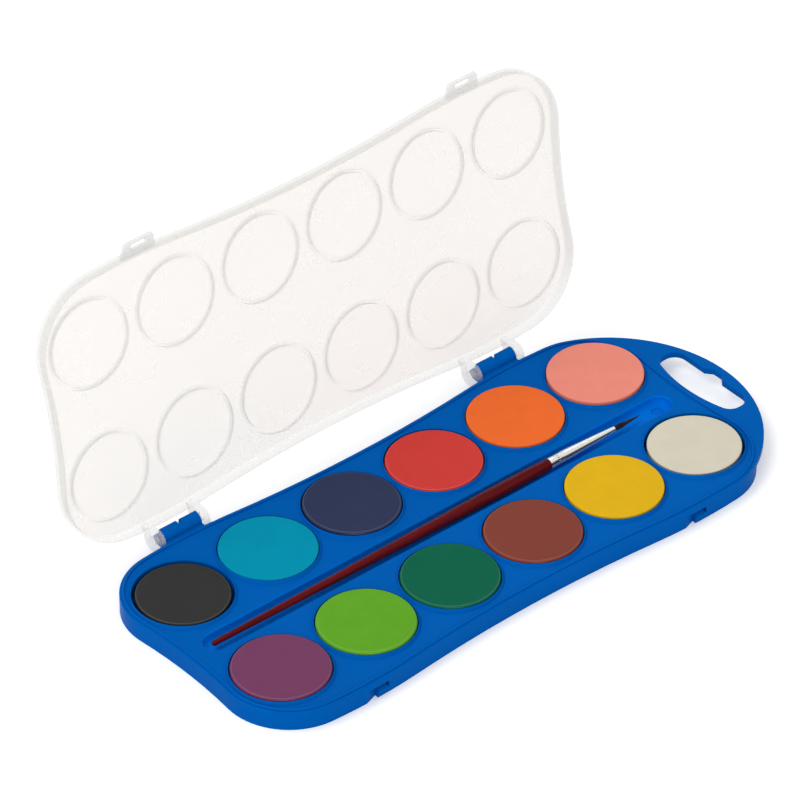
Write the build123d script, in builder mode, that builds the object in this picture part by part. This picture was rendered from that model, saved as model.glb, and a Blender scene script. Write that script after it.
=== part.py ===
from build123d import *
import os
from math import atan2, cos, degrees, radians, sin, sqrt

os.makedirs("parts", exist_ok=True)

# All sizes are millimetres. The origin is the middle of the tablet grid, on the
# plane that the tray stands on. +X points to the handle, +Y to the hinges, +Z up.

# Tablets of paint and the grid that they stand in
columns = 6
tablet_gap = 2.4
row_gap = 15.25
tablet_d = 30.6
tablet_small_d = 29.4
tablet_t = 4.85
tablet_proud = 1.6
tablet_high = 0.35
tablet_low = 0.5
tablet_sunk = 0.8
tablet_bevel = 0.6
tablet_foot_bevel = 0.4
dish_depth = 0.3
dish_rim = 1.6

# Plan of the tray, along the middle of its raised rim line
end_margin = 0.6
waist_margin = 2.65
shoulder_swell = 3.1
shoulder_r = 195.0
corner_r = 20.6
end_bow_r = 188.0

# Tray shell
deck_z = 6.5
deck_t = 1.2
skirt_out = 1.25
skirt_wall = 1.3
tray_edge_r = 0.35
bead_w = 0.9
bead_h = 0.65
bead_r = 0.4
well_gap = 0.3
cup_wall = 1.3
cup_floor = 1.2
lip_w = 0.55
lip_h = 0.4
lip_bevel = 0.25

# Loose pieces are modelled this far above what they rest on
seat_gap = 0.3

# Faces are picked by height to within this distance
pick_reach = 0.05

# Brush trough
trough_w = 8.0
trough_margin = 5.9
trough_depth = 2.85
trough_wall = 1.2
trough_foot_r = 2.2
trough_edge_r = 0.7
dimple_r = 1.8
dimple_depth = 0.35
dimple_inset = 4.5

# Handle plate with its hang hole
handle_reach = 17.5
handle_t = 2.0
handle_bar = 4.5
hole_inset = 1.8
hole_bow_r = 50.0
hole_half = 17.2
hole_corner_r = 4.2
peak_depth = 1.9
peak_base = 4.1
peak_top = 1.7
peak_r = 1.0

# Lid, described shut: its rim stands over the ledge outside the rim line
lid_open = 100.0
rim_gap = 0.3
lid_side_gap = 0.3
lid_wall = 0.8
lid_t = 1.1
lid_depth = 4.65
lid_edge_r = 1.2
lid_inner_r = 0.5
ring_r = 14.7
ring_w = 0.8
ring_h = 1.5

# Hinges: a rod between two ears of the lid turns in a hook of the tray
hinge_x = 63.3
hinge_out = 4.07
hinge_drop = 0.45
rod_r = 1.95
pivot_gap = 0.05
hook_wall = 1.2
hook_w = 14.2
hook_tip = 0.15
hook_mouth = 1.0
hook_slot_w = 1.2
hook_slot_depth = 1.3
hook_neck_drop = 0.3
ear_gap = 0.3
ear_t = 2.5
ear_r = 3.75
ear_rise = 3.9
ear_web_turn = 40.0
ear_bore_r = 1.45
ear_bore_depth = 1.65

# Latches: flaps of the lid fold down over lugs on the front of the tray
latch_places = (-62.0, 64.7)
flap_root_gap = 0.3
flap_root_w = 12.8
flap_tip_w = 11.0
flap_bend = 15.0
flap_reach = 5.7
flap_t = 1.0
flap_r = 1.2
window_w = 5.8
window_start = 2.6
window_h = 2.2
window_r = 0.4
recess_left = 6.0
recess_right = 2.6
recess_depth = 1.4
recess_h = 4.2
recess_wall = 1.2
lug_w = 3.6
lug_out = 0.7
lug_nose = 0.4
lug_h = 1.3
lug_gap = 0.25

# Brush, along X in the trough
brush_end_gap = 2.5
brush_tip_gap = 11.2
butt_r = 0.9
handle_mid_r = 1.8
handle_mid_back = 43.0
belly_r = 2.05
belly_back = 13.0
handle_neck_r = 1.85
spigot_len = 7.0
fit_gap = 0.04
ferrule_len = 27.0
ferrule_wall = 0.2
ferrule_r = 1.76
ferrule_straight = 7.6
ferrule_mid = 18.0
ferrule_mid_r = 1.3
ferrule_mouth_r = 0.82
crimp_at = 3.4
crimp_pitch = 1.3
crimp_depth = 0.1
crimp_half = 0.45
tuft_len = 11.3
tuft_root = 1.2
tuft_swell = 0.08
tuft_swell_at = 2.6
tuft_point = 0.3

# Worked out from the driving dimensions
pitch_x = tablet_d + tablet_gap
pitch_y = tablet_d + row_gap
half_length = (columns - 1) / 2 * pitch_x + tablet_d / 2 + end_margin
waist = pitch_y / 2 + tablet_d / 2 + waist_margin
shoulder = waist + shoulder_swell
shoulder_x = (columns / 2 - 1) * pitch_x
deck_under = deck_z - deck_t
tablet_z = deck_z + tablet_proud - tablet_t
seat_z = tablet_z - seat_gap
well_r = tablet_d / 2 + well_gap
cup_z = seat_z - cup_floor
trough_half = half_length - trough_margin
trough_z = deck_z - trough_depth
handle_tip = half_length + handle_reach
lid_in = bead_w / 2 + lid_side_gap
lid_out = lid_in + lid_wall
rim_z = deck_z + rim_gap
lid_top = rim_z + lid_depth
panel_z = lid_top - lid_t
hinge_z = deck_z - hinge_drop
hook_r = rod_r + pivot_gap + hook_wall
brush_z = trough_z + seat_gap + belly_r
brush_x = -trough_half + brush_end_gap
handle_len = 2 * trough_half - brush_end_gap - brush_tip_gap - ferrule_len - tuft_len
handle_mid_x = handle_len - handle_mid_back
belly_x = handle_len - belly_back
lug_low = rim_z - window_start - window_h + lug_gap


def circles_meet(first, first_r, second, second_r):
    """Upper crossing of two circles, each given by its centre and radius."""
    across = second - first
    span = across.length
    along = (first_r**2 - second_r**2 + span**2) / (2 * span)
    aside = sqrt(first_r**2 - along**2)
    step = across.normalized()
    crossings = [
        first + step * along + Vector(-step.Y, step.X) * aside * side for side in (1, -1)
    ]
    return max(crossings, key=lambda point: point.Y)


def heading(start, finish):
    """Direction from one point to another, in degrees from +X."""
    return degrees(atan2(finish.Y - start.Y, finish.X - start.X))


# Centres of the arcs of one quarter of the plan: side, shoulder, corner and end
side_r = (shoulder_x**2 + shoulder_swell**2) / (2 * shoulder_swell) - shoulder_r
side_c = Vector(0, waist + side_r)
shoulder_c = Vector(shoulder_x, shoulder - shoulder_r)
end_c = Vector(half_length + end_bow_r, 0)
corner_c = circles_meet(end_c, end_bow_r + corner_r, shoulder_c, shoulder_r - corner_r)


def outline_face(grow):
    """The waisted plan, a distance outside the rim line, in tangent arcs."""
    to_shoulder = heading(side_c, shoulder_c)
    to_corner = heading(shoulder_c, corner_c)
    to_end = heading(corner_c, end_c)
    with BuildSketch() as plan:
        with BuildLine():
            CenterArc(side_c, side_r - grow, -90, to_shoulder + 90)
            CenterArc(shoulder_c, shoulder_r + grow, to_corner, to_shoulder + 180 - to_corner)
            CenterArc(corner_c, corner_r + grow, to_end, to_corner - to_end)
            CenterArc(end_c, end_bow_r - grow, 180, to_end)
            mirror(about=Plane.YZ)
            mirror(about=Plane.XZ)
        make_face()
    return plan.sketch


def half_width(x, grow):
    """Half the width of the plan at a place on the shoulder."""
    return shoulder_c.Y + sqrt((shoulder_r + grow) ** 2 - (abs(x) - shoulder_c.X) ** 2)


hinge_y = half_width(hinge_x, skirt_out) + hinge_out


def grid_places():
    """The grid of tablets, wells and lid rings, seen in plan."""
    return GridLocations(pitch_x, pitch_y, columns, 2)


def handle_face():
    """The end plate: one arc that meets both corner arcs of the skirt smoothly."""
    blend_r = corner_r + skirt_out
    reach = handle_tip - blend_r
    centre_x = (reach**2 - corner_c.X**2 - corner_c.Y**2) / (2 * (reach - corner_c.X))
    centre = Vector(centre_x, 0)
    sweep = heading(centre, corner_c)
    with BuildSketch() as plate:
        with BuildLine():
            rim = CenterArc(centre, handle_tip - centre_x, -sweep, 2 * sweep)
            Line(rim @ 0, rim @ 1)
        make_face()
        add(outline_face(skirt_out - skirt_wall), mode=Mode.SUBTRACT)
    return plate.sketch


def hang_hole_face():
    """The hang hole: bowed inside, straight outside, with a peak for a hook."""
    inner_x = half_length + hole_inset
    outer_x = handle_tip - handle_bar
    bow = hole_bow_r - sqrt(hole_bow_r**2 - hole_half**2)
    with BuildSketch() as hole:
        with BuildLine():
            ThreePointArc((inner_x + bow, -hole_half), (inner_x, 0), (inner_x + bow, hole_half))
            Line((inner_x + bow, hole_half), (outer_x, hole_half))
            Line((outer_x, hole_half), (outer_x, -hole_half))
            Line((outer_x, -hole_half), (inner_x + bow, -hole_half))
        make_face()
        fillet(hole.vertices(), hole_corner_r)
    with BuildSketch() as peak:
        with BuildLine():
            Polyline(
                (outer_x - peak_depth, -peak_base),
                (outer_x, -peak_base),
                (outer_x + peak_depth, -peak_top),
                (outer_x + peak_depth, peak_top),
                (outer_x, peak_base),
                (outer_x - peak_depth, peak_base),
                close=True,
            )
        make_face()
        fillet(peak.vertices().group_by(Axis.X)[-1], peak_r)
    return hole.sketch + peak.sketch


def lid_plane(height):
    """Plane at a height of the shut lid, swung open with it about the hinge line."""
    turn = radians(lid_open)
    up = Vector(0, sin(turn), cos(turn))
    back = Vector(0, cos(turn), -sin(turn))
    origin = Vector(0, hinge_y, hinge_z) - back * hinge_y + up * (height - hinge_z)
    return Plane(origin=origin, x_dir=(1, 0, 0), z_dir=up)


def lid_section(x):
    """Plane across the hinge line at x, whose axes turn with the lid."""
    turn = radians(lid_open)
    back = Vector(0, cos(turn), -sin(turn))
    return Plane(origin=(x, hinge_y, hinge_z), x_dir=back, z_dir=(1, 0, 0))


def on_section(x):
    """Plane across X at x, with Y to the right and Z up."""
    return Plane(origin=(x, 0, 0), x_dir=(0, 1, 0), z_dir=(1, 0, 0))


def recess_face(x):
    """Plan of the pocket at a lug: its floor slopes in from the left as far as the lug."""
    front = -half_width(x, skirt_out)
    with BuildSketch() as pocket:
        with BuildLine():
            Polyline(
                (x - 2 * recess_left + lug_w / 2, front - recess_depth),
                (x - lug_w / 2, front + recess_depth),
                (x + recess_right, front + recess_depth),
                (x + recess_right, front - recess_depth),
                close=True,
            )
        make_face()
    return pocket.sketch


def recess_mouth_face(x):
    """Plan of the part of the pocket that is open below, left of its sill."""
    with BuildSketch() as mouth:
        add(recess_face(x))
        with Locations((x - lug_w / 2, -half_width(x, skirt_out))):
            Rectangle(
                recess_left + recess_right,
                3 * recess_depth,
                align=(Align.MIN, Align.CENTER),
                mode=Mode.SUBTRACT,
            )
    return mouth.sketch


# Tray: a thin moulding with wells, a brush trough, a rim line and a handle plate
with BuildPart() as tray:
    with BuildSketch():
        add(outline_face(skirt_out))
    extrude(amount=deck_z)
    with BuildSketch(Plane.XY.offset(deck_z - handle_t)):
        add(handle_face())
    extrude(amount=handle_t)
    top_face = tray.faces().sort_by(Axis.Z)[-1]
    fillet(top_face.outer_wire().edges(), tray_edge_r)
    with BuildSketch():
        add(outline_face(skirt_out - skirt_wall))
    extrude(amount=deck_under, mode=Mode.SUBTRACT)

    # Pockets of the latch lugs, with walls behind them
    for x in latch_places:
        with BuildSketch():
            add(offset(recess_face(x), recess_wall, kind=Kind.INTERSECTION, mode=Mode.PRIVATE))
            add(outline_face(skirt_out), mode=Mode.INTERSECT)
        extrude(amount=deck_z - tray_edge_r)
        with BuildSketch(Plane.XY.offset(lug_low)):
            add(recess_face(x))
        extrude(amount=recess_h - lug_low, mode=Mode.SUBTRACT)
        with BuildSketch():
            add(recess_mouth_face(x))
        extrude(amount=lug_low, mode=Mode.SUBTRACT)

    # Cups under the wells, and the trough between the two rows
    with BuildSketch(Plane.XY.offset(cup_z)):
        with grid_places():
            Circle(well_r + cup_wall)
    extrude(amount=deck_under - cup_z)
    with BuildSketch(Plane.XY.offset(trough_z - trough_wall)):
        SlotOverall(2 * (trough_half + trough_wall), trough_w + 2 * trough_wall)
    extrude(amount=deck_under - trough_z + trough_wall)
    with BuildSketch(Plane.XY.offset(trough_z)):
        SlotOverall(2 * trough_half, trough_w)
    extrude(amount=trough_depth, mode=Mode.SUBTRACT)
    trough_floor = tray.faces().filter_by(Plane.XY).filter_by_position(
        Axis.Z, trough_z - pick_reach, trough_z + pick_reach
    )
    fillet(trough_floor.edges(), trough_foot_r)
    trough_mouth = tray.faces().filter_by(Plane.XY).sort_by(Axis.Z)[-1].inner_wires()
    fillet(trough_mouth.edges(), trough_edge_r)
    with Locations((trough_half - dimple_inset, 0, trough_z)):
        Cone(dimple_r, dimple_r + dimple_depth, 2 * dimple_depth, mode=Mode.SUBTRACT)

    # Raised lip round each well, then the wells themselves
    with BuildSketch(Plane.XY.offset(deck_z)):
        with grid_places():
            Circle(well_r + lip_w)
    lips = extrude(amount=lip_h)
    chamfer(lips.faces().filter_by(Plane.XY).sort_by(Axis.Z)[-2 * columns :].edges(), lip_bevel)
    with BuildSketch(Plane.XY.offset(seat_z)):
        with grid_places():
            Circle(well_r)
    extrude(amount=deck_z + lip_h - seat_z, mode=Mode.SUBTRACT)

    # Rim line that the lid drops round
    with BuildSketch(Plane.XY.offset(deck_z)):
        add(outline_face(bead_w / 2))
        add(outline_face(-bead_w / 2), mode=Mode.SUBTRACT)
    bead = extrude(amount=bead_h)
    fillet(bead.faces().sort_by(Axis.Z)[-1].edges(), bead_r)

    # Hang hole
    with BuildSketch():
        add(hang_hole_face())
    extrude(amount=deck_z, mode=Mode.SUBTRACT)

    # Hinge hooks: open at the back, so that the lid's rods snap in
    for x in (-hinge_x, hinge_x):
        skirt_y = half_width(x, skirt_out) - skirt_wall / 2
        with BuildSketch(on_section(x - hook_w / 2)):
            with Locations((hinge_y, hinge_z)):
                Circle(hook_r)
            with BuildLine():
                Polyline(
                    (skirt_y, hinge_z - hook_r),
                    (hinge_y, hinge_z - hook_r),
                    (hinge_y, hinge_z + hook_neck_drop),
                    (skirt_y, hinge_z + hook_neck_drop),
                    close=True,
                )
            make_face()
            with Locations((hinge_y, hinge_z)):
                Circle(rod_r + pivot_gap, mode=Mode.SUBTRACT)
            with Locations((hinge_y + hook_tip, hinge_z - hook_mouth)):
                Rectangle(
                    2 * hook_r, 2 * hook_r, align=(Align.MIN, Align.MIN), mode=Mode.SUBTRACT
                )
        extrude(amount=hook_w)
        with Locations((x, hinge_y + hook_tip, hinge_z + rod_r)):
            Box(
                hook_slot_w,
                2 * hook_slot_depth,
                2 * hook_r,
                align=(Align.CENTER, Align.CENTER, Align.MIN),
                mode=Mode.SUBTRACT,
            )

    # Lugs that the latch windows snap over
    for x in latch_places:
        front = -half_width(x, skirt_out)
        back = front + recess_depth + recess_wall / 2
        with BuildSketch(on_section(x - lug_w / 2)):
            with BuildLine():
                Polyline(
                    (back, lug_low),
                    (front - lug_out, lug_low),
                    (front - lug_out, lug_low + lug_nose),
                    (front + recess_depth, lug_low + lug_h),
                    (back, lug_low + lug_h),
                    close=True,
                )
            make_face()
        extrude(amount=lug_w)

# Lid: a shallow clear box with a ring over each tablet and two ears at each hinge
with BuildPart() as lid:
    with BuildSketch(lid_plane(rim_z)):
        add(outline_face(lid_out))
    extrude(amount=lid_depth)
    lid_up = Axis((0, 0, 0), lid_plane(0).z_dir)
    fillet(lid.faces().sort_by(lid_up)[-1].edges(), lid_edge_r)
    with BuildSketch(lid_plane(rim_z)):
        add(outline_face(lid_in))
    extrude(amount=lid_depth - lid_t, mode=Mode.SUBTRACT)
    panel = lid.faces().filter_by(lid_plane(0)).sort_by(lid_up)[-2]
    fillet(panel.edges(), lid_inner_r)
    with BuildSketch(lid_plane(panel_z - ring_h)):
        with grid_places():
            Circle(ring_r)
            Circle(ring_r - ring_w, mode=Mode.SUBTRACT)
    extrude(amount=ring_h)

    for x in (-hinge_x, hinge_x):
        wall_y = half_width(x, lid_out) - hinge_y - lid_wall / 2
        for ear_x in (x - hook_w / 2 - ear_gap - ear_t, x + hook_w / 2 + ear_gap):
            with BuildSketch(lid_section(ear_x)):
                with BuildLine():
                    Polyline(
                        (0, 0),
                        (wall_y, rim_z - hinge_z),
                        (wall_y, rim_z - hinge_z + ear_rise),
                        (wall_y + lid_wall, rim_z - hinge_z + ear_rise),
                        (ear_r * cos(radians(ear_web_turn)), ear_r * sin(radians(ear_web_turn))),
                        close=True,
                    )
                make_face()
                Circle(ear_r)
            extrude(amount=ear_t)
        rod_start = x - hook_w / 2 - ear_gap - ear_t
        rod_len = hook_w + 2 * (ear_gap + ear_t)
        with BuildSketch(lid_section(rod_start)):
            Circle(rod_r)
        extrude(amount=rod_len)
        with BuildSketch(lid_section(rod_start)):
            Circle(ear_bore_r)
        extrude(amount=ear_bore_depth, mode=Mode.SUBTRACT)
        with BuildSketch(lid_section(rod_start + rod_len - ear_bore_depth)):
            Circle(ear_bore_r)
        extrude(amount=ear_bore_depth, mode=Mode.SUBTRACT)


def make_latch(x):
    """Latch flap, a little bent forward about the line where it joins the lid's rim."""
    turn = radians(lid_open - flap_bend)
    fold_line = lid_plane(rim_z).from_local_coords(Vector(x, -half_width(x, lid_out)))
    inner = Plane(origin=fold_line, x_dir=(1, 0, 0), z_dir=(0, sin(turn), cos(turn)))
    with BuildPart() as flap:
        with BuildSketch(inner) as shape:
            with BuildLine():
                Polyline(
                    (-flap_root_w / 2, -flap_root_gap),
                    (-flap_tip_w / 2, -flap_reach),
                    (flap_tip_w / 2, -flap_reach),
                    (flap_root_w / 2, -flap_root_gap),
                    close=True,
                )
            make_face()
            fillet(shape.vertices().group_by(Axis.Y)[0], flap_r)
            with Locations((0, -window_start - window_h / 2)):
                RectangleRounded(window_w, window_h, window_r, mode=Mode.SUBTRACT)
        extrude(amount=flap_t)
    return flap


def make_tablet(place, diameter, drop, dished):
    """One tablet of paint, standing in its well."""
    top = deck_z + tablet_proud - drop
    radius = diameter / 2
    middle = top - dish_depth if dished else top
    section = Plane(origin=(place.X, place.Y, 0), x_dir=(1, 0, 0), z_dir=(0, -1, 0))
    with BuildPart() as tablet:
        with BuildSketch(section) as profile:
            with BuildLine():
                Polyline((0, middle), (0, tablet_z), (radius, tablet_z), (radius, top))
                Line((radius, top), (radius - dish_rim, top))
                Line((radius - dish_rim, top), (0, middle))
            make_face()
            chamfer(profile.vertices().sort_by(Axis.X)[-2:].sort_by(Axis.Y)[-1], tablet_bevel)
            chamfer(profile.vertices().group_by(Axis.Y)[0].sort_by(Axis.X)[-1], tablet_foot_bevel)
        revolve(axis=Axis((place.X, place.Y, 0), (0, 0, 1)))
    return tablet


# The brush is drawn along X, from its butt to its point
brush_axis = Axis((brush_x, 0, brush_z), (1, 0, 0))
brush_section = Plane(origin=(brush_x, 0, brush_z), x_dir=(1, 0, 0), z_dir=(0, -1, 0))
spigot_r = ferrule_r - ferrule_wall - fit_gap

with BuildPart() as brush_handle:
    with BuildSketch(brush_section):
        with BuildLine():
            Line((0, 0), (handle_len + spigot_len, 0))
            Line((handle_len + spigot_len, 0), (handle_len + spigot_len, spigot_r))
            Line((handle_len + spigot_len, spigot_r), (handle_len, spigot_r))
            Line((handle_len, spigot_r), (handle_len, handle_neck_r))
            ThreePointArc(
                (handle_len, handle_neck_r), (belly_x, belly_r), (handle_mid_x, handle_mid_r)
            )
            Line((handle_mid_x, handle_mid_r), (butt_r, butt_r))
            CenterArc((butt_r, 0), butt_r, 90, 90)
        make_face()
    revolve(axis=brush_axis)


with BuildPart() as brush_ferrule:
    with BuildSketch(brush_section):
        with BuildLine():
            Polyline(
                (handle_len + crimp_at + crimp_pitch + crimp_half, ferrule_r),
                (handle_len + crimp_at + crimp_pitch, ferrule_r - crimp_depth),
                (handle_len + crimp_at + crimp_pitch - crimp_half, ferrule_r),
                (handle_len + crimp_at + crimp_half, ferrule_r),
                (handle_len + crimp_at, ferrule_r - crimp_depth),
                (handle_len + crimp_at - crimp_half, ferrule_r),
                (handle_len, ferrule_r),
                (handle_len, ferrule_r - ferrule_wall),
                (handle_len + ferrule_straight, ferrule_r - ferrule_wall),
                (handle_len + ferrule_mid, ferrule_mid_r - ferrule_wall),
                (handle_len + ferrule_len, ferrule_mouth_r - ferrule_wall),
                (handle_len + ferrule_len, ferrule_mouth_r),
                (handle_len + ferrule_mid, ferrule_mid_r),
                (handle_len + ferrule_straight, ferrule_r),
                close=True,
            )
        make_face()
    revolve(axis=brush_axis)

with BuildPart() as brush_bristles:
    with BuildSketch(brush_section):
        with BuildLine():
            root = handle_len + ferrule_len - tuft_root
            tip = handle_len + ferrule_len + tuft_len
            tuft_r = ferrule_mouth_r - ferrule_wall - fit_gap
            Line((root, 0), (root, tuft_r))
            Line((root, tuft_r), (handle_len + ferrule_len, tuft_r))
            ThreePointArc(
                (handle_len + ferrule_len, tuft_r),
                (handle_len + ferrule_len + tuft_swell_at, tuft_r + tuft_swell),
                (tip, tuft_point),
            )
            Line((tip, tuft_point), (tip, 0))
            Line((tip, 0), (root, 0))
        make_face()
    revolve(axis=brush_axis)

# Tablets from the left of each row: diameter, how far each stands low, if its top is dished
tablet_rows = {
    1: {
        "black": (tablet_small_d, tablet_sunk, True),
        "cyan": (tablet_d, tablet_low, False),
        "navy": (tablet_d, 0, True),
        "red": (tablet_d, tablet_low, True),
        "orange": (tablet_d, 0, False),
        "salmon": (tablet_d, -tablet_high, False),
    },
    -1: {
        "purple": (tablet_d, 0, True),
        "lime": (tablet_d, 0, True),
        "green": (tablet_d, 0, True),
        "brown": (tablet_d, 0, True),
        "yellow": (tablet_d, 0, False),
        "white": (tablet_small_d, tablet_sunk, False),
    },
}

pieces = {
    "tray": tray,
    "lid": lid,
    "latch_left": make_latch(latch_places[0]),
    "latch_right": make_latch(latch_places[1]),
    "brush_handle": brush_handle,
    "brush_ferrule": brush_ferrule,
    "brush_bristles": brush_bristles,
}
for side, row in tablet_rows.items():
    for column, (colour, (diameter, drop, dished)) in enumerate(row.items()):
        place = Vector((column - (columns - 1) / 2) * pitch_x, side * pitch_y / 2)
        pieces["paint_" + colour] = make_tablet(place, diameter, drop, dished)

for name, piece in pieces.items():
    piece.part.label = name
    export_step(piece.part, f"parts/{name}.step")
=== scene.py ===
"""Finishes, paints, brush hairs and studio for an open watercolour set."""

import random
from math import atan2, cos, pi, radians, sin, sqrt

import bpy
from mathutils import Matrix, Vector


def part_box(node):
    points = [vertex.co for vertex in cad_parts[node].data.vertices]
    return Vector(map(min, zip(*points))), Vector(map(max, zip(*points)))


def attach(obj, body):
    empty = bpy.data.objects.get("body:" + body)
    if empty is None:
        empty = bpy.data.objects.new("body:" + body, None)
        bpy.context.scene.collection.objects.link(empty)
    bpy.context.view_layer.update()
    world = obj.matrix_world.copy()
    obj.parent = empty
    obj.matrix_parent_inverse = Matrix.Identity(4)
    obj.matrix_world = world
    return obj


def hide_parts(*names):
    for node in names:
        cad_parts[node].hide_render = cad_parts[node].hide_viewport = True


bl_info = {
    "name": "Watercolour Paint Set",
    "version": (1, 0, 0),
    "blender": (4, 5, 0),
    "location": "View3D > Sidebar > Paint Set",
    "description": "Dresses the model of an open watercolour set with finishes, paints and brush hairs",
    "category": "Object",
}

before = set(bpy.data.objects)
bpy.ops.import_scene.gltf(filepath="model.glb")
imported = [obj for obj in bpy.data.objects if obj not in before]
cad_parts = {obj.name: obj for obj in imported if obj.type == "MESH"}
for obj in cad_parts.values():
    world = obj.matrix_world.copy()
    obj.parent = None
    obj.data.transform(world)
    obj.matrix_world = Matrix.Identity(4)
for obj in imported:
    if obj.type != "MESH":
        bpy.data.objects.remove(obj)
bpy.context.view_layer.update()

# The lid stands this many degrees from shut, and its walls get milkier between these heights
LID_OPEN = 100.0
LID_FOOT_Z = 0.009
LID_MILKY_Z = 0.03

# How nearly a surface of the lid lies along its panel where a wall ends and the panel starts
WALL_SHARE = 0.35
PANEL_SHARE = 0.95

# Height of the tray's deck, and radius of its wells
DECK_Z = 0.0065
WELL_R = 0.0156

# Collar of a well: how far it laps into the tray, the angle where its rounded top ends, and how
# high and how far in from its foot its flare starts, as shares of its height and of its width
COLLAR_LAP = 0.00002
COLLAR_SIDES = 96
COLLAR_TOP_END = 45
FLARE_HIGH = 0.1
FLARE_IN = 0.12

# Brush trough: how far its middle line reaches either way, its radius within and at the mouth,
# and the two heights inside its floor between which the painted light that lifts its shade sets in
TROUGH_REACH = 0.0885
TROUGH_R = 0.0041
TROUGH_MOUTH_R = 0.0046
TROUGH_LOW_Z = 0.003
TROUGH_HIGH_Z = 0.0034

# Tablets: how far the underside and a flat top start in from their roundings, the width over
# which a dish sinks, its depth at each step of that, and the disc left in the middle
FOOT_INSET = 0.002
TOP_INSET = 0.001
DISH_SLOPE = 0.004
DISH_STEPS = (0.1, 0.3, 0.6, 0.85, 1.0)
HUB_SHARE = 0.12

# Paint: how far a surface faces up where a side ends and a top starts, how much painted shade
# darkens a side, how much a painted highlight lightens the edge of a dish, and the gloss of either
SIDE_UP = 0.25
TOP_UP = 0.85
DISHED_SIDE_SHADE = 0.6
FLAT_SIDE_SHADE = 0.3
EDGE_GLINT = 0.05
SIDE_ROUGHNESS = 0.24
TOP_ROUGHNESS = 0.5
SIDE_COAT = 0.5

# Ferrule: its sides, and its back end and taper as (distance along, share of the radius)
TUBE_SIDES = 48
TUBE_BACK = ((0.0, 0.9), (0.0, 0.98), (0.00015, 1.0))
TUBE_TAPER = ((0.0076, 1.0), (0.0128, 0.87), (0.018, 0.739), (0.0225, 0.6))

# Its mouth: share of the radius, then its lip as (distance back, share of the mouth)
TUBE_MOUTH = 0.466
TUBE_LIP = ((0.0, 1.0), (0.0, 0.86), (0.0012, 0.8))

# Its crimps: place of each, half widths of their mouth and floor, share of the radius left at
# the floor, and at every fourth edge the share of that left by each crimp's serrations
CRIMPS = (0.0034, 0.0047)
CRIMP_HALF = 0.00045
CRIMP_FLOOR_HALF = 0.0002
CRIMP_FLOOR = 0.95
SERRATION_STEP = 4
SERRATIONS = (0.81, 0.9)

# A hair and the tuft's core, as (share of the length, share of the width or radius)
HAIR_SIDES = 5
HAIR_PROFILE = ((0.0, 1.0), (0.35, 1.0), (0.7, 0.7), (1.0, 0.15))
CORE_SIDES = 24
CORE_PROFILE = ((0.0, 0.7), (0.25, 1.15), (0.5, 0.9), (0.8, 0.4), (0.93, 0.15))

# Lay of the hairs: share of a half turn from one to the next, shares of the tuft's radius at
# the roots, the tips and the swell, how they run along a hair, the ranges that chance picks
# from, and how much shorter an outer hair is
NEXT_HAIR = 3 - sqrt(5)
ROOT_SHARE = 0.95
TIP_SHARE = 0.22
SWELL_SHARE = 0.5
SWELL_RATE = 1.6
DRAW_POWER = 1.6
HAIR_SEED = 7
TIP_CHANCE = (0.6, 1.5)
REACH_CHANCE = (0.9, 1.0)
OUTER_LOSS = 0.12

# Lamps by name: place, width, and the setting that holds the power
LAMPS = {
    "Key Lamp": ((-0.6, 0.3, 1.15), 0.8, "key"),
    "Back Lamp": ((0.62, 0.55, 0.9), 0.25, "back"),
    "Fill Lamp": ((-0.9, -1.5, 0.35), 1.2, "fill"),
}
LAMPS_LOOK_AT = (0.0, 0.0, 0.03)

# Level at which the floor glows for rays that show it as the background
FLOOR_GLOW = 0.3

# Camera: its place, the way it looks, and its lens in millimetres
CAMERA_PLACE = (-1.0842, -1.2517, 1.33355)
CAMERA_LOOK = (0.5132, 0.6018, -0.6119)
CAMERA_LENS = 315.0

# Limits of the modelling helpers: merging distance, and the angle in degrees shaded as smooth
MERGE = 0.00001
SMOOTH_ANGLE = 40.0

# Levels that a soft noise mostly keeps between, and how far it moves a roughness either way
CLOUD_LOW = 0.3
CLOUD_HIGH = 0.7
BLUE_WANDER = 0.05
FROST_WANDER = 0.03


def linear(red, green, blue):
    """Scene-linear colour of a screen colour given as 0 to 255."""
    shares = [value / 255 for value in (red, green, blue)]
    return tuple(v / 12.92 if v <= 0.04045 else ((v + 0.055) / 1.055) ** 2.4 for v in shares)


# Paints by name: screen colour, whether the top is dished, and the tilt about X and Y in degrees
PAINTS = {
    "black": ((51, 51, 51), True, (0.2, 0.15)),
    "cyan": ((1, 143, 174), False, (0.0, 0.1)),
    "navy": ((49, 56, 85), True, (0.1, 0.75)),
    "red": ((205, 63, 58), True, (-0.15, 0.1)),
    "orange": ((238, 109, 48), False, (0.1, 0.0)),
    "salmon": ((236, 141, 125), False, (0.1, -0.1)),
    "purple": ((115, 62, 96), True, (0.15, 0.1)),
    "lime": ((96, 163, 40), True, (-0.1, 0.1)),
    "green": ((16, 96, 71), True, (0.1, -0.15)),
    "brown": ((129, 65, 54), True, (0.1, 0.2)),
    "yellow": ((224, 178, 29), False, (0.0, 0.1)),
    "white": ((214, 208, 189), False, (-0.1, 0.0)),
}


# Settings that a user would change


def colour_setting(name, description, screen):
    """A colour setting whose default is a screen colour."""
    return bpy.props.FloatVectorProperty(
        name=name,
        description=description,
        subtype="COLOR",
        size=3,
        min=0.0,
        max=1.0,
        default=linear(*screen),
    )


def size_setting(name, description, metres):
    """A length setting in metres."""
    return bpy.props.FloatProperty(
        name=name,
        description=description,
        default=metres,
        min=0.0,
        precision=5,
        subtype="DISTANCE",
        unit="LENGTH",
    )


def share_setting(name, description, share):
    """A setting from 0 to 1."""
    return bpy.props.FloatProperty(
        name=name, description=description, default=share, min=0.0, max=1.0, subtype="FACTOR"
    )


def level_setting(name, description, level):
    """A setting from 0 upwards."""
    return bpy.props.FloatProperty(name=name, description=description, default=level, min=0.0)


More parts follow.
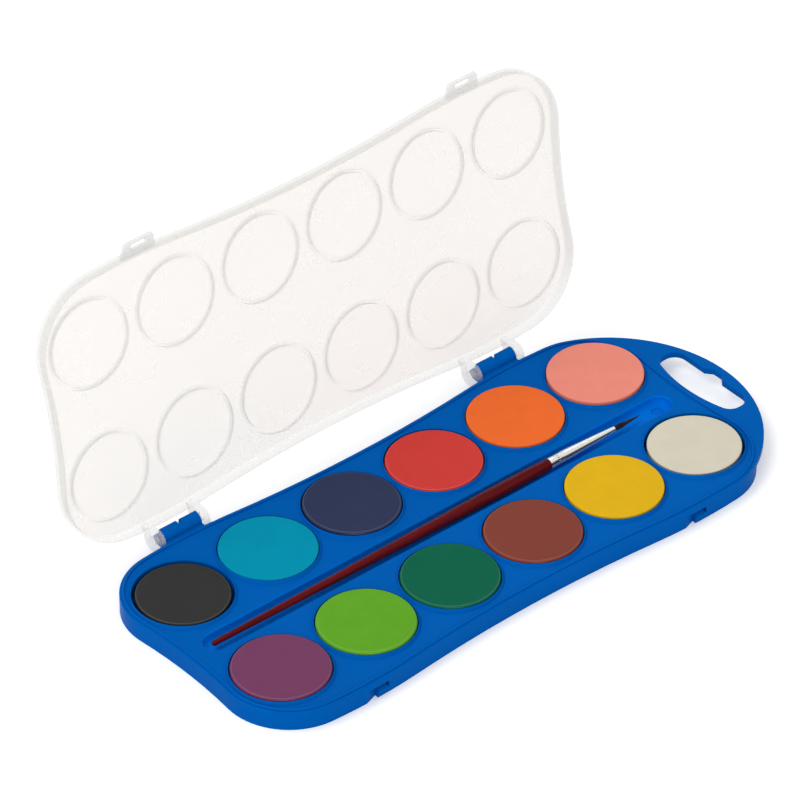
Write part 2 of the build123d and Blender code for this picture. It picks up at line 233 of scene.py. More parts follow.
def power_setting(name, description, watts):
    """The power of a lamp."""
    return bpy.props.FloatProperty(
        name=name, description=description, default=watts, min=0.0, unit="POWER"
    )


def count_setting(name, description, count, least):
    """A whole number of sides or pieces."""
    return bpy.props.IntProperty(name=name, description=description, default=count, min=least)


class PaintSetTraySettings(bpy.types.PropertyGroup):
    """Finish of the tray and the collars round its wells"""

    colour: colour_setting("Colour", "Colour of the moulded tray", (0, 91, 175))
    roughness: share_setting("Roughness", "Roughness of the moulded surface", 0.3)
    # Painted light: level of the paler colour that lifts the shade inside the brush trough
    trough: level_setting("Trough", "Level of the colour inside the brush trough", 1.55)
    own_shine: share_setting("Own Shine", "Share of the shine that takes the tray's colour", 0.04)
    shine: share_setting("Shine", "Strength of the tray's clear reflections", 0.01)
    sheen: colour_setting("Sheen", "Tint of the tray's reflections", (0, 170, 255))
    collar_height: size_setting("Collar Height", "Height of a collar above the deck", 0.001)
    collar_width: size_setting("Collar Width", "Width of a collar where it meets the deck", 0.00078)
    collar_round: size_setting("Collar Round", "Radius of a collar's top", 0.00015)


class PaintSetLidSettings(bpy.types.PropertyGroup):
    """Finish of the milky lid and its latch flaps"""

    colour: colour_setting("Colour", "Tint of the lid's panel", (248, 240, 231))
    # Painted shade: walls and rings are tinted greyer for how they look darker seen edge-on
    wall_painted_shade: colour_setting("Edge Colour", "Tint of the lid's walls and rings", (226, 226, 223))
    milk: share_setting("Milk", "Share of the light that a face of the panel stops", 0.28)
    edge_milk: share_setting("Edge Milk", "Share that a wall or ring stops", 0.43)
    foot_milk: share_setting("Foot Milk", "Share that an ear or wall near the hinge stops", 0.2)
    flap_colour: colour_setting("Flap Colour", "Tint of the latch flaps", (231, 230, 227))
    flap_milk: share_setting("Flap Milk", "Share of the light that a flap stops", 0.42)
    frost: share_setting("Frost", "Roughness of the milky plastic", 0.28)
    shine: share_setting("Shine", "Strength of the lid's reflections", 0.4)


class PaintSetTabletSettings(bpy.types.PropertyGroup):
    """Shape of the tablets of paint"""

    flat_round: size_setting("Flat Round", "Radius of the top edge of a flat tablet", 0.00035)
    dished_round: size_setting("Dished Round", "Radius of the top edge of a dished tablet", 0.001)
    foot_round: size_setting("Foot Round", "Radius of the lower edge of a tablet", 0.0005)
    rim: size_setting("Rim", "Width of the flat rim round a dished top", 0.0005)
    dish: size_setting("Dish", "Depth of a dished top", 0.00018)
    sides: count_setting("Sides", "Sides of each tablet", 96, 12)


class PaintSetBrushSettings(bpy.types.PropertyGroup):
    """Finish of the brush and its hairs"""

    lacquer: colour_setting("Lacquer", "Colour of the lacquered handle", (99, 21, 25))
    hair: colour_setting("Hair", "Colour of the hairs", (36, 27, 23))
    hair_count: count_setting("Hairs", "Number of separate hairs in the tuft", 320, 1)
    hair_width: size_setting("Hair Width", "Width of a hair at its root", 0.00009)


class PaintSetStageSettings(bpy.types.PropertyGroup):
    """Studio round the paint set"""

    floor_size: size_setting("Floor Size", "Side of the pale floor", 14.0)
    sky: level_setting("Sky", "Level of the soft light from all round", 0.6)
    key: power_setting("Key Power", "Power of the soft lamp above the left end", 6.8)
    back: power_setting("Back Power", "Power of the small lamp behind the right end", 0.8)
    fill: power_setting("Fill Power", "Power of the soft lamp at the front", 11.6)


# Modelling helpers


def clear_selection():
    """Leaves edit mode and deselects everything."""
    if bpy.context.object and bpy.context.object.mode != "OBJECT":
        bpy.ops.object.mode_set(mode="OBJECT")
    bpy.ops.object.select_all(action="DESELECT")


def added_object(name):
    """The object that was just added or joined, under its name."""
    item = bpy.context.object
    item.name = name
    return item


def select_only(*objects):
    """Selects these objects alone, the first one active."""
    clear_selection()
    for item in objects:
        item.select_set(True)
    bpy.context.view_layer.objects.active = objects[0]


def edit_vertices(piece, chosen):
    """Enters edit mode with only those vertices selected whose places pass a test."""
    select_only(piece)
    bpy.ops.object.mode_set(mode="EDIT")
    bpy.ops.mesh.select_mode(type="VERT")
    bpy.ops.mesh.select_all(action="DESELECT")
    bpy.ops.object.mode_set(mode="OBJECT")
    for vertex in piece.data.vertices:
        vertex.select = chosen(vertex.co)
    bpy.ops.object.mode_set(mode="EDIT")


def settle(piece):
    """Moves a piece's place into its mesh, so that its object sits at the origin."""
    select_only(piece)
    bpy.ops.object.transform_apply(location=True, rotation=True, scale=True)
    bpy.ops.object.select_all(action="DESELECT")


def turned_piece(name, stations, sides, origin, direction, ring=False):
    """A closed piece turned about X, Y or Z, from (distance along, radius) stations.

    A disc is set at the first station, then pushed out and sized at each next one.
    A ring starts from a bare circle instead, and its section closes on the first station.
    """
    clear_selection()
    origin = Vector(origin)
    direction = Vector(direction)
    turn = direction.to_track_quat("Z", "Y").to_euler()
    along, radius = stations[0]
    bpy.ops.mesh.primitive_circle_add(
        vertices=sides,
        radius=radius,
        fill_type="NOTHING" if ring else "NGON",
        location=origin + direction * along,
        rotation=turn,
    )
    piece = added_object(name)
    bpy.ops.object.transform_apply(location=True, rotation=True, scale=True)
    bpy.ops.object.mode_set(mode="EDIT")
    bpy.ops.mesh.select_mode(type="VERT")
    bpy.ops.mesh.select_all(action="SELECT")
    for next_along, next_radius in stations[1:] + stations[: 1 if ring else 0]:
        step = direction * (next_along - along)
        bpy.ops.mesh.extrude_region_move(TRANSFORM_OT_translate={"value": step})
        share = next_radius / radius
        bpy.ops.transform.resize(
            value=[1.0 if part else share for part in direction],
            center_override=origin + direction * next_along,
        )
        along, radius = next_along, next_radius
    bpy.ops.mesh.select_all(action="SELECT")
    if ring:
        bpy.ops.mesh.remove_doubles(threshold=MERGE)
    bpy.ops.mesh.normals_make_consistent(inside=False)
    bpy.ops.object.mode_set(mode="OBJECT")
    bpy.ops.object.shade_smooth_by_angle(angle=radians(SMOOTH_ANGLE))
    bpy.ops.object.select_all(action="DESELECT")
    return piece


def rounded_corner(along, radius, size, start, finish, steps=5):
    """Stations round a corner whose arc of that size runs between two angles in degrees."""
    angles = [radians(start + (finish - start) * step / steps) for step in range(steps + 1)]
    return [(along + size * sin(angle), radius + size * cos(angle)) for angle in angles]


def scaled_profile(profile, length, radius):
    """Stations from a profile given in shares of a length and of a radius."""
    return [(length * along, radius * share) for along, share in profile]


def copy_piece(piece, name):
    """A copy of a piece with a mesh of its own."""
    twin = piece.copy()
    twin.data = piece.data.copy()
    twin.name = name
    twin.data.name = name
    bpy.context.scene.collection.objects.link(twin)
    return twin


def dress(piece, material):
    """Gives a piece one material."""
    piece.data.materials.clear()
    piece.data.materials.append(material)


# Material helpers


def fresh_material(name):
    """A material with its tree and its main shader."""
    material = bpy.data.materials.new(name)
    material.use_nodes = True
    tree = material.node_tree
    shader = next(node for node in tree.nodes if node.type == "BSDF_PRINCIPLED")
    return material, tree, shader


def set_inputs(node, **values):
    """Sets some inputs of a node, whose names are written with _ for a space."""
    for name, value in values.items():
        node.inputs[name.replace("_", " ")].default_value = value


def add_node(tree, kind, place, **values):
    """A node at a place in the editor, with some of its inputs set."""
    node = tree.nodes.new(kind)
    node.location = place
    set_inputs(node, **values)
    return node


def object_place(tree):
    """The socket of a surface point's place, in metres."""
    return add_node(tree, "ShaderNodeTexCoord", (-1500, 0)).outputs["Object"]


def noise(tree, source, place, scale, detail=3.0, roughness=0.5, stretch=(1.0, 1.0, 1.0)):
    """The level of a soft noise with that many features to a metre."""
    mapping = add_node(tree, "ShaderNodeMapping", (place[0] - 200, place[1]), Scale=stretch)
    cloud = add_node(
        tree, "ShaderNodeTexNoise", place, Scale=scale, Detail=detail, Roughness=roughness
    )
    tree.links.new(source, mapping.inputs["Vector"])
    tree.links.new(mapping.outputs["Vector"], cloud.inputs["Vector"])
    return cloud.outputs["Fac"]


def span(tree, source, place, low, high, out_low, out_high):
    """A level stretched from one range to another."""
    node = add_node(
        tree,
        "ShaderNodeMapRange",
        place,
        From_Min=low,
        From_Max=high,
        To_Min=out_low,
        To_Max=out_high,
    )
    tree.links.new(source, node.inputs["Value"])
    return node.outputs["Result"]


def work(tree, operation, place, first, second=None):
    """The outcome of one operation on levels, each given as a number or as a socket."""
    node = tree.nodes.new("ShaderNodeMath")
    node.operation = operation
    node.location = place
    for slot, value in enumerate((first, second)):
        if isinstance(value, bpy.types.NodeSocket):
            tree.links.new(value, node.inputs[slot])
        elif value is not None:
            node.inputs[slot].default_value = value
    return node.outputs[0]


def band(tree, source, place, centre, near, far):
    """1 where a level is nearer than that to a centre, down to 0 farther away."""
    off = work(tree, "SUBTRACT", (place[0] - 360, place[1]), source, centre)
    off = work(tree, "ABSOLUTE", (place[0] - 180, place[1]), off)
    return span(tree, off, place, near, far, 1.0, 0.0)


def blend_colours(tree, place, factor, first, second):
    """A colour between two, each given as a colour or as a socket."""
    node = tree.nodes.new("ShaderNodeMix")
    node.data_type = "RGBA"
    node.location = place
    tree.links.new(factor, node.inputs[0])
    for slot, colour in ((6, first), (7, second)):
        if isinstance(colour, bpy.types.NodeSocket):
            tree.links.new(colour, node.inputs[slot])
        else:
            node.inputs[slot].default_value = (*colour, 1.0)
    return node.outputs[2]


def mottled(tree, cloud, place, dark, light, low=CLOUD_LOW, high=CLOUD_HIGH):
    """A colour that wanders between two with a noise."""
    share = span(tree, cloud, (place[0] - 250, place[1]), low, high, 0.0, 1.0)
    return blend_colours(tree, place, share, dark, light)


def wander_roughness(tree, shader, cloud, place, smoothest, roughest):
    """Lets the roughness wander between two values with a noise."""
    rough = span(tree, cloud, place, CLOUD_LOW, CLOUD_HIGH, smoothest, roughest)
    tree.links.new(rough, shader.inputs["Roughness"])


def add_bump(tree, shader, height, place, strength, distance):
    """Raises the surface by a level."""
    bump = add_node(tree, "ShaderNodeBump", place, Strength=strength, Distance=distance)
    tree.links.new(height, bump.inputs["Height"])
    tree.links.new(bump.outputs["Normal"], shader.inputs["Normal"])
    return bump


def tinted(colour, level):
    """A colour made darker or lighter."""
    return tuple(min(1.0, value * level) for value in colour)


def facing_up(tree, place):
    """The upward share of the surface's direction."""
    geometry = add_node(tree, "ShaderNodeNewGeometry", place)
    parts = add_node(tree, "ShaderNodeSeparateXYZ", (place[0] + 180, place[1]))
    tree.links.new(geometry.outputs["Normal"], parts.inputs["Vector"])
    return parts.outputs["Z"]


def trough_share(tree, place):
    """1 inside the brush trough, where the tray gets painted light, 0 elsewhere on the tray."""
    parts = add_node(tree, "ShaderNodeSeparateXYZ", (-1900, 700))
    tree.links.new(place, parts.inputs["Vector"])
    past = work(tree, "ABSOLUTE", (-1700, 900), parts.outputs["X"])
    past = work(tree, "SUBTRACT", (-1520, 900), past, TROUGH_REACH)
    past = work(tree, "MAXIMUM", (-1340, 900), past, 0.0)
    along = work(tree, "POWER", (-1160, 900), past, 2.0)
    across = work(tree, "MULTIPLY", (-1160, 700), parts.outputs["Y"], parts.outputs["Y"])
    away = work(tree, "SQRT", (-800, 800), work(tree, "ADD", (-980, 800), along, across))
    within = span(tree, away, (-620, 800), TROUGH_R, TROUGH_MOUTH_R, 1.0, 0.0)
    above = span(tree, parts.outputs["Z"], (-620, 600), TROUGH_LOW_Z, TROUGH_HIGH_Z, 0.0, 1.0)
    return work(tree, "MULTIPLY", (-420, 700), within, above)


def moulded_blue(settings):
    """Satin moulded plastic of the tray, with painted light making it paler inside the brush trough to
    lift the shade there.
    """
    material, tree, shader = fresh_material("Moulded Blue")
    place = object_place(tree)
    clouds = noise(tree, place, (-1000, 300), scale=18.0, detail=2.0)
    dark, light = tinted(settings.colour, 0.96), tinted(settings.colour, 1.05)
    deck = mottled(tree, clouds, (-500, 300), dark, light)
    # Painted light: a paler copy of the tray's colour fills the trough, lifting its shade
    trough = tinted(settings.colour, settings.trough)
    base = blend_colours(tree, (-220, 300), trough_share(tree, place), deck, trough)
    tree.links.new(base, shader.inputs["Base Color"])
    patches = noise(tree, place, (-1000, 0), scale=45.0)
    rough = settings.roughness
    wander_roughness(
        tree, shader, patches, (-750, 0), rough - BLUE_WANDER, rough + BLUE_WANDER
    )
    grain = noise(tree, place, (-1000, -300), scale=1500.0, detail=2.0)
    add_bump(tree, shader, grain, (-250, -300), strength=0.12, distance=0.00006)
    set_inputs(
        shader,
        Metallic=settings.own_shine,
        Specular_IOR_Level=settings.shine,
        Specular_Tint=(*settings.sheen, 1.0),
    )
    return material


def panel_share(tree, coordinates):
    """How nearly a surface of the lid lies along its panel: 1 on the panel, 0 on a wall."""
    lean = radians(LID_OPEN)
    along = tree.nodes.new("ShaderNodeVectorMath")
    along.operation = "DOT_PRODUCT"
    along.location = (-1000, 600)
    along.inputs[1].default_value = (0.0, sin(lean), cos(lean))
    tree.links.new(coordinates.outputs["Normal"], along.inputs[0])
    return work(tree, "ABSOLUTE", (-750, 600), along.outputs["Value"])


def milky_plastic(name, settings, colour, milk):
    """Milky see-through plastic, clearer on the panel and near the hinge than on a wall, with painted
    shade greying the walls and rings.
    """
    material, tree, shader = fresh_material(name)
    place = object_place(tree)
    clouds = noise(tree, place, (-1000, 300), scale=14.0, detail=2.0)
    flat = mottled(tree, clouds, (-500, 300), tinted(colour, 0.98), colour)
    along = panel_share(tree, place.node)
    panel = span(tree, along, (-500, 600), WALL_SHARE, PANEL_SHARE, 0.0, 1.0)
    # Painted shade: walls and rings take the greyer tint, the panel its own
    base = blend_colours(tree, (-220, 300), panel, settings.wall_painted_shade, flat)
    tree.links.new(base, shader.inputs["Base Color"])
    parts = add_node(tree, "ShaderNodeSeparateXYZ", (-1300, 1000))
    tree.links.new(place, parts.inputs["Vector"])
    wall = span(
        tree,
        parts.outputs["Z"],
        (-800, 1000),
        LID_FOOT_Z,
        LID_MILKY_Z,
        settings.foot_milk,
        settings.edge_milk,
    )
    step = work(tree, "SUBTRACT", (-620, 900), milk, wall)
    step = work(tree, "MULTIPLY", (-440, 900), step, panel)
    tree.links.new(work(tree, "ADD", (-220, 900), step, wall), shader.inputs["Alpha"])
    patches = noise(tree, place, (-1000, 0), scale=60.0)
    frost = settings.frost
    wander_roughness(
        tree, shader, patches, (-750, 0), frost - FROST_WANDER, frost + FROST_WANDER
    )
    ripple = noise(tree, place, (-1000, -300), scale=120.0, detail=2.0)
    add_bump(tree, shader, ripple, (-250, -300), strength=0.1, distance=0.00008)
    set_inputs(shader, Specular_IOR_Level=settings.shine)
    return material


def pressed_paint(name, screen, dished):
    """Pressed watercolour: matt on top, with a painted highlight on the edge of a dish and painted
    shade on the side.
    """
    colour = linear(*screen)
    material, tree, shader = fresh_material("Paint " + name.capitalize())
    place = object_place(tree)
    clouds = noise(tree, place, (-1100, 400), scale=130.0, detail=5.0, roughness=0.62)
    speckle = noise(tree, place, (-1100, 150), scale=1900.0, detail=2.0)
    dark, light = tinted(colour, 0.97), tinted(colour, 1.03)
    broad = mottled(tree, clouds, (-650, 400), dark, light, low=0.32, high=0.68)
    specks = span(tree, speckle, (-880, 150), low=0.35, high=0.75, out_low=0.0, out_high=0.1)
    fine = blend_colours(tree, (-450, 350), specks, broad, tinted(colour, 0.8))
    up = facing_up(tree, (-1100, -150))
    top = span(tree, up, (-700, -150), SIDE_UP, TOP_UP, 0.0, 1.0)
    # Painted shade: a side, facing less up, is darkened as if it got less light
    side_shade = DISHED_SIDE_SHADE if dished else FLAT_SIDE_SHADE
    painted_shade_side = tuple(value - side_shade * min(colour) for value in colour)
    base = blend_colours(tree, (-220, 300), top, painted_shade_side, fine)
    if dished:
        # Painted highlight: a paler line where the rounded edge of a dish faces partly up
        painted_glint = tuple((1 - EDGE_GLINT) * value + EDGE_GLINT for value in colour)
        edge = band(tree, up, (-300, 700), centre=0.87, near=0.03, far=0.1)
        base = blend_colours(tree, (-100, 500), edge, base, painted_glint)
    tree.links.new(base, shader.inputs["Base Color"])
    rough = span(tree, top, (-450, -100), 0.0, 1.0, SIDE_ROUGHNESS, TOP_ROUGHNESS)
    tree.links.new(rough, shader.inputs["Roughness"])
    coat = span(tree, top, (-450, -300), 0.0, 1.0, SIDE_COAT, 0.0)
    tree.links.new(coat, shader.inputs["Coat Weight"])
    waves = noise(tree, place, (-1100, -450), scale=150.0, detail=2.0)
    soft = add_node(tree, "ShaderNodeBump", (-500, -450), Strength=0.35, Distance=0.0003)
    tree.links.new(waves, soft.inputs["Height"])
    grain = noise(tree, place, (-1100, -700), scale=2600.0, detail=2.0)
    fine_bump = add_bump(tree, shader, grain, (-250, -450), strength=0.18, distance=0.00005)
    tree.links.new(soft.outputs["Normal"], fine_bump.inputs["Normal"])
    set_inputs(
        shader,
        Specular_IOR_Level=0.03,
        Specular_Tint=(*tinted(colour, 1.0 / max(colour)), 1.0),
        Coat_Roughness=0.1,
    )
    return material


def red_lacquer(settings):
    """Lacquered wood of the brush handle, with grain along it."""
    material, tree, shader = fresh_material("Red Lacquer")
    place = object_place(tree)
    streaks = noise(
        tree, place, (-1100, 300), scale=900.0, detail=4.0, roughness=0.6, stretch=(0.035, 1.0, 1.0)
    )
    dark, light = tinted(settings.lacquer, 0.55), tinted(settings.lacquer, 1.25)
    base = mottled(tree, streaks, (-500, 300), dark, light, low=0.35)
    tree.links.new(base, shader.inputs["Base Color"])
    pores = noise(tree, place, (-1100, 0), scale=1600.0, stretch=(0.06, 1.0, 1.0))
    wander_roughness(tree, shader, pores, (-750, 0), smoothest=0.14, roughest=0.24)
    add_bump(tree, shader, pores, (-250, -300), strength=0.15, distance=0.00005)
    set_inputs(shader, Specular_IOR_Level=0.08, Specular_Tint=(1.0, 0.35, 0.3, 1.0))
    return material


def bright_tube():
    """Drawn metal of the ferrule, with fine lines round it and a painted dark reflection in a band on
    each flank.
    """
    material, tree, shader = fresh_material("Bright Tube")
    place = object_place(tree)
    lines = noise(tree, place, (-1100, 200), scale=1500.0, stretch=(6.0, 0.2, 0.2))
    metal = mottled(tree, lines, (-500, 200), linear(206, 205, 200), linear(236, 236, 234))
    # Painted reflection: a dark band on each flank, where the tube faces partly up, stands in for what
    # it reflects
    up = facing_up(tree, (-1500, 500))
    flank_painted_reflection = band(tree, up, (-500, 500), centre=0.43, near=0.15, far=0.27)
    base = blend_colours(tree, (-220, 300), flank_painted_reflection, metal, linear(76, 78, 66))
    tree.links.new(base, shader.inputs["Base Color"])
    wander_roughness(tree, shader, lines, (-750, -50), smoothest=0.2, roughest=0.32)
    add_bump(tree, shader, lines, (-250, -300), strength=0.1, distance=0.00003)
    set_inputs(shader, Metallic=0.75)
    return material


def brush_hair(settings):
    """Dark hair, with lighter and darker streaks along it."""
    material, tree, shader = fresh_material("Brush Hair")
    place = object_place(tree)
    strands = noise(
        tree, place, (-1100, 200), scale=5000.0, detail=2.0, stretch=(0.05, 1.0, 1.0)
    )
    dark, light = tinted(settings.hair, 0.5), tinted(settings.hair, 1.5)
    base = mottled(tree, strands, (-500, 200), dark, light)
    tree.links.new(base, shader.inputs["Base Color"])
    wander_roughness(tree, shader, strands, (-750, -50), smoothest=0.35, roughest=0.5)
    set_inputs(shader, Specular_IOR_Level=0.15)
    return material


# Pieces


class PAINTSET_OT_tray(bpy.types.Operator):
    """Finish the moulded tray and raise a collar round each of its wells"""

    bl_idname = "paint_set.finish_tray"
    bl_label = "Finish Tray"
    bl_options = {"REGISTER", "UNDO"}

    def execute(self, context):
        settings = context.scene.paint_set_tray
        material = moulded_blue(settings)
        dress(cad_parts["tray"], material)
        collar = self.turn_collar(settings)
        collars = []
        for name in PAINTS:
            low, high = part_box("paint_" + name)
            twin = copy_piece(collar, "Collar")
            twin.location = ((low.x + high.x) / 2, (low.y + high.y) / 2, DECK_Z)
            collars.append(twin)
        bpy.data.objects.remove(collar)
        select_only(*collars)
        bpy.ops.object.join()
        piece = added_object("well_collars")
        settle(piece)
        dress(piece, material)
        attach(piece, "tray")
        return {"FINISHED"}

    def turn_collar(self, settings):
        """One collar at the origin, its foot a little below the deck at Z = 0."""
        high = settings.collar_height
        top_round = settings.collar_round
        inner = WELL_R + COLLAR_LAP
        outer = inner + settings.collar_width
        top = rounded_corner(
            high - top_round, inner + top_round, top_round, 180, COLLAR_TOP_END, steps=6
        )
        stations = [(-COLLAR_LAP, inner), (high - top_round, inner), *top[1:]]
        stations += [(high * FLARE_HIGH, outer - settings.collar_width * FLARE_IN)]
        stations += [(0.0, outer), (-COLLAR_LAP, outer)]
        return turned_piece("Collar", stations, COLLAR_SIDES, (0, 0, 0), (0, 0, 1), ring=True)


class PAINTSET_OT_lid(bpy.types.Operator):
    """Finish the milky lid and its two latch flaps"""

    bl_idname = "paint_set.finish_lid"
    bl_label = "Finish Lid"
    bl_options = {"REGISTER", "UNDO"}

    def execute(self, context):
        settings = context.scene.paint_set_lid
        panel = milky_plastic("Milky Plastic", settings, settings.colour, settings.milk)
        flap = milky_plastic("Milky Flap", settings, settings.flap_colour, settings.flap_milk)
        for node, material in (("lid", panel), ("latch_left", flap), ("latch_right", flap)):
            dress(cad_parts[node], material)
        return {"FINISHED"}


class PAINTSET_OT_tablets(bpy.types.Operator):
    """Turn the tablets of paint and set each one in its well"""

    bl_idname = "paint_set.add_tablets"
    bl_label = "Add Tablets"
    bl_options = {"REGISTER", "UNDO"}

    def execute(self, context):
        settings = context.scene.paint_set_tablets
        for name, (screen, dished, tilt) in PAINTS.items():
            self.add_tablet(settings, name, screen, dished, tilt)
        return {"FINISHED"}

    def turn_tablet(self, settings, radius, height, dished):
        """One tablet at the origin, standing on Z = 0."""
        foot = settings.foot_round
        edge = settings.dished_round if dished else settings.flat_round
        stations = [(0.0, radius - foot - FOOT_INSET)]
        stations += rounded_corner(foot, radius - foot, foot, -90, 0)
        stations += rounded_corner(height - edge, radius - edge, edge, 0, 90, steps=8)
        if dished:
            slope = radius - edge - settings.rim
            stations.append((height, slope))
            for share in DISH_STEPS:
                stations.append((height - settings.dish * share, slope - DISH_SLOPE * share))
        else:
            stations.append((height, radius - edge - TOP_INSET))
        stations.append((stations[-1][0], radius * HUB_SHARE))
        return turned_piece("Tablet", stations, settings.sides, (0, 0, 0), (0, 0, 1))

    def add_tablet(self, settings, name, screen, dished, tilt):
        """A tablet of its own size, in its own well and paint."""
        node = "paint_" + name
        low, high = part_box(node)
        middle = (low + high) / 2
        piece = self.turn_tablet(settings, (high.x - low.x) / 2, high.z - low.z, dished)
        piece.name = "tablet_of_" + name
        piece.location = (middle.x, middle.y, low.z)
        piece.rotation_euler = (radians(tilt[0]), radians(tilt[1]), 0.0)
        settle(piece)
        dress(piece, pressed_paint(name, screen, dished))
        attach(piece, "tablet_" + name)
        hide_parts(node)


class PAINTSET_OT_brush(bpy.types.Operator):
    """Finish the brush: its handle, its crimped tube and its tuft of hairs"""

    bl_idname = "paint_set.add_brush"
    bl_label = "Add Brush"
    bl_options = {"REGISTER", "UNDO"}

    def execute(self, context):
        settings = context.scene.paint_set_brush
        dress(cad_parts["brush_handle"], red_lacquer(settings))
        self.add_tube()
        self.add_tuft(settings)
        return {"FINISHED"}

    def add_tube(self):
        """The ferrule, with two serrated crimps at the handle's end."""
        low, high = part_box("brush_ferrule")
        radius = (high.z - low.z) / 2
        length = high.x - low.x
        mouth = radius * TUBE_MOUTH
        stations = scaled_profile(TUBE_BACK, 1.0, radius)
        for crimp in CRIMPS:
            stations += [
                (crimp - CRIMP_HALF, radius),
                (crimp - CRIMP_FLOOR_HALF, radius * CRIMP_FLOOR),
                (crimp + CRIMP_FLOOR_HALF, radius * CRIMP_FLOOR),
                (crimp + CRIMP_HALF, radius),
            ]
        stations += scaled_profile(TUBE_TAPER, 1.0, radius)
        stations += [(length - back, mouth * share) for back, share in TUBE_LIP]
        start = Vector((low.x, (low.y + high.y) / 2, (low.z + high.z) / 2))
        tube = turned_piece("brush_tube", stations, TUBE_SIDES, start, (1, 0, 0))
        self.serrate(tube, start)
        dress(tube, bright_tube())
        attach(tube, "brush")
        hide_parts("brush_ferrule")

    def serrate(self, tube, start):
        """Presses every fourth edge of each crimp's floor inwards."""
        for crimp, share in zip(CRIMPS, SERRATIONS):
            edit_vertices(tube, lambda place: self.on_serration(place - start, crimp))
            bpy.ops.transform.resize(value=(1.0, share, share), center_override=start)
        clear_selection()

    def on_serration(self, place, crimp):
        """Whether a place, measured from the tube's start, is on one of a crimp's serrations."""
        number = round(atan2(place.z, place.y) / (2 * pi) * TUBE_SIDES)
        on_floor = abs(place.x - crimp) < CRIMP_FLOOR_HALF + MERGE
        return on_floor and number % SERRATION_STEP == 0

    def add_tuft(self, settings):
        """The tuft: a core, and hairs copied round it from one and drawn to its point."""
        low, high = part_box("brush_bristles")
        middle = (low + high) / 2
        radius = (high.z - low.z) / 2
        length = high.x - low.x
        start = Vector((low.x, middle.y, middle.z))
        strand = scaled_profile(HAIR_PROFILE, length, settings.hair_width / 2)
        hair = turned_piece("Hair", strand, HAIR_SIDES, (0, 0, 0), (1, 0, 0))
        filling = scaled_profile(CORE_PROFILE, length, radius)
        core = turned_piece("brush_tuft", filling, CORE_SIDES, start, (1, 0, 0))
        chance = random.Random(HAIR_SEED)
        hairs = []
        for number in range(settings.hair_count):
            twin = copy_piece(hair, "Hair")
            spread = sqrt((number + 0.5) / settings.hair_count)
            self.lay_hair(twin, number * pi * NEXT_HAIR, spread, radius, length, chance)
            twin.location = start
            hairs.append(twin)
        bpy.data.objects.remove(hair)
        select_only(core, *hairs)
        bpy.ops.object.join()
        settle(core)
        dress(core, brush_hair(settings))
        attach(core, "brush")
        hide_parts("brush_bristles")

    def lay_hair(self, hair, turn, spread, radius, length, chance):
        """Bends a hair from its root to its tip: spread is 0 in the middle, 1 at the outside."""
        root = radius * ROOT_SHARE * spread
        tip = radius * TIP_SHARE * spread * chance.uniform(*TIP_CHANCE)
        reach = chance.uniform(*REACH_CHANCE) - OUTER_LOSS * spread
        for vertex in hair.data.vertices:
            share = min(1.0, max(0.0, vertex.co.x / length))
            swell = radius * SWELL_SHARE * sin(min(1.0, share * SWELL_RATE) * pi)
            out = root + (tip - root) * share**DRAW_POWER + swell * spread
            vertex.co.x *= reach
            vertex.co.y += out * cos(turn)
            vertex.co.z += out * sin(turn)


# Studio


def seen_directly(tree, place):
    """1 for rays that show the background itself, straight, in gloss or through a clear body."""
    path = add_node(tree, "ShaderNodeLightPath", place)
    total = path.outputs["Is Camera Ray"]
    for step, name in enumerate(("Is Glossy Ray", "Is Transmission Ray")):
        spot = (place[0] + 200 + 180 * step, place[1])
        total = work(tree, "MAXIMUM", spot, total, path.outputs[name])
    return total


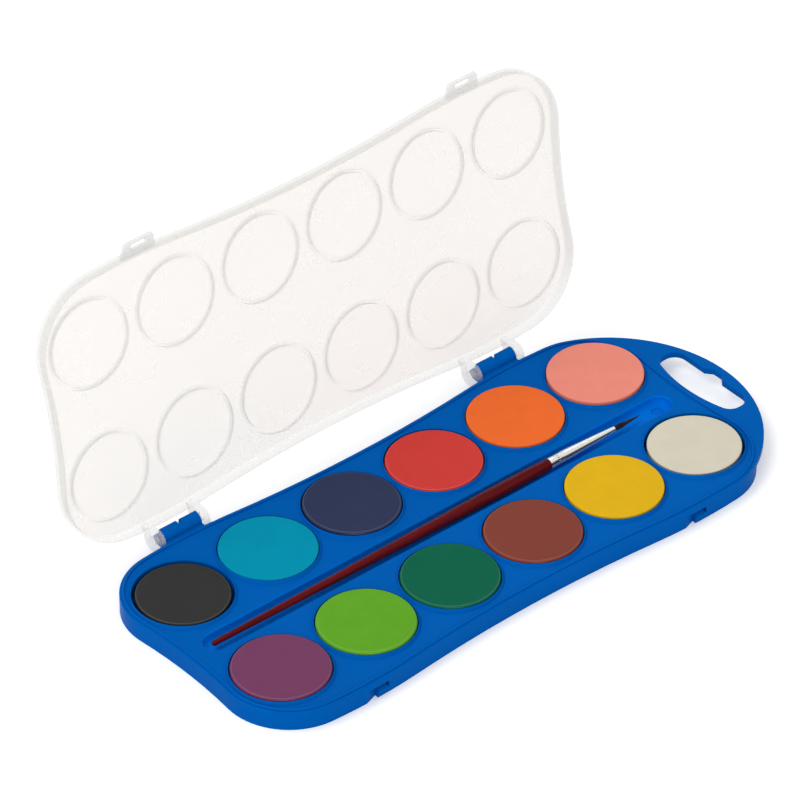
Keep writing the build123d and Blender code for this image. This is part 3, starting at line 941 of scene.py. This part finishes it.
class PAINTSET_OT_stage(bpy.types.Operator):
    """Set up the pale floor, the soft lamps and the camera"""

    bl_idname = "paint_set.add_stage"
    bl_label = "Add Stage"
    bl_options = {"REGISTER", "UNDO"}

    def execute(self, context):
        settings = context.scene.paint_set_stage
        self.add_floor(settings)
        self.light_sky(settings)
        for name, (place, width, power) in LAMPS.items():
            self.add_lamp(name, place, width, getattr(settings, power))
        self.add_camera(context)
        context.scene.view_settings.view_transform = "Standard"
        return {"FINISHED"}

    def add_floor(self, settings):
        """The floor, which keeps the set's shadow and shows white where it is the background."""
        clear_selection()
        bpy.ops.mesh.primitive_plane_add(size=settings.floor_size, location=(0, 0, 0))
        floor = added_object("Floor")
        material, tree, shader = fresh_material("Pale Floor")
        set_inputs(
            shader,
            Base_Color=(0.86, 0.86, 0.86, 1.0),
            Roughness=0.9,
            Specular_IOR_Level=0.0,
            Emission_Color=(1.0, 1.0, 1.0, 1.0),
        )
        seen = seen_directly(tree, (-900, -200))
        glow = span(tree, seen, (-250, -200), 0.0, 1.0, 0.0, FLOOR_GLOW)
        tree.links.new(glow, shader.inputs["Emission Strength"])
        dress(floor, material)
        bpy.ops.object.select_all(action="DESELECT")

    def light_sky(self, settings):
        """The soft light from all round, shown as white where it is the background."""
        world = bpy.data.worlds.new("Soft Sky")
        bpy.context.scene.world = world
        world.use_nodes = True
        tree = world.node_tree
        shader = next(node for node in tree.nodes if node.type == "BACKGROUND")
        set_inputs(shader, Color=(1.0, 1.0, 1.0, 1.0))
        level = span(tree, seen_directly(tree, (-900, 0)), (-250, 0), 0.0, 1.0, settings.sky, 1.0)
        tree.links.new(level, shader.inputs["Strength"])

    def add_lamp(self, name, place, width, power):
        """A square soft lamp that looks at the middle of the set."""
        look = Vector(LAMPS_LOOK_AT) - Vector(place)
        bpy.ops.object.light_add(
            type="AREA", location=place, rotation=look.to_track_quat("-Z", "Y").to_euler()
        )
        lamp = added_object(name)
        lamp.data.shape = "SQUARE"
        lamp.data.size = width
        lamp.data.energy = power

    def add_camera(self, context):
        """The camera, at the photograph's viewing angle."""
        look = Vector(CAMERA_LOOK)
        bpy.ops.object.camera_add(
            location=CAMERA_PLACE, rotation=look.to_track_quat("-Z", "Y").to_euler()
        )
        camera = added_object("Camera")
        camera.data.sensor_width = 36.0
        camera.data.lens = CAMERA_LENS
        camera.data.clip_end = 100.0
        context.scene.camera = camera


class PAINTSET_PT_panel(bpy.types.Panel):
    """Sidebar panel of the paint set"""

    bl_idname = "PAINTSET_PT_panel"
    bl_label = "Paint Set"
    bl_space_type = "VIEW_3D"
    bl_region_type = "UI"
    bl_category = "Paint Set"

    def draw(self, context):
        column = self.layout.column()
        for operator in OPERATORS:
            column.operator(operator.bl_idname)
        for name, group in SETTINGS.items():
            box = self.layout.box()
            box.label(text=group.__doc__)
            for setting in group.__annotations__:
                box.prop(getattr(context.scene, name), setting)


SETTINGS = {
    "paint_set_tray": PaintSetTraySettings,
    "paint_set_lid": PaintSetLidSettings,
    "paint_set_tablets": PaintSetTabletSettings,
    "paint_set_brush": PaintSetBrushSettings,
    "paint_set_stage": PaintSetStageSettings,
}
OPERATORS = (
    PAINTSET_OT_tray,
    PAINTSET_OT_lid,
    PAINTSET_OT_tablets,
    PAINTSET_OT_brush,
    PAINTSET_OT_stage,
)


def register():
    """Adds the classes and the scene's settings."""
    for kind in (*SETTINGS.values(), *OPERATORS, PAINTSET_PT_panel):
        bpy.utils.register_class(kind)
    for name, group in SETTINGS.items():
        setattr(bpy.types.Scene, name, bpy.props.PointerProperty(type=group))


def unregister():
    """Takes the scene's settings and the classes away again."""
    for name in SETTINGS:
        delattr(bpy.types.Scene, name)
    for kind in (PAINTSET_PT_panel, *reversed(OPERATORS), *reversed(SETTINGS.values())):
        bpy.utils.unregister_class(kind)


def main():
    """Registers the classes and dresses the set."""
    register()
    bpy.ops.paint_set.finish_tray()
    bpy.ops.paint_set.finish_lid()
    bpy.ops.paint_set.add_tablets()
    bpy.ops.paint_set.add_brush()
    bpy.ops.paint_set.add_stage()


if __name__ == "__main__":
    main()
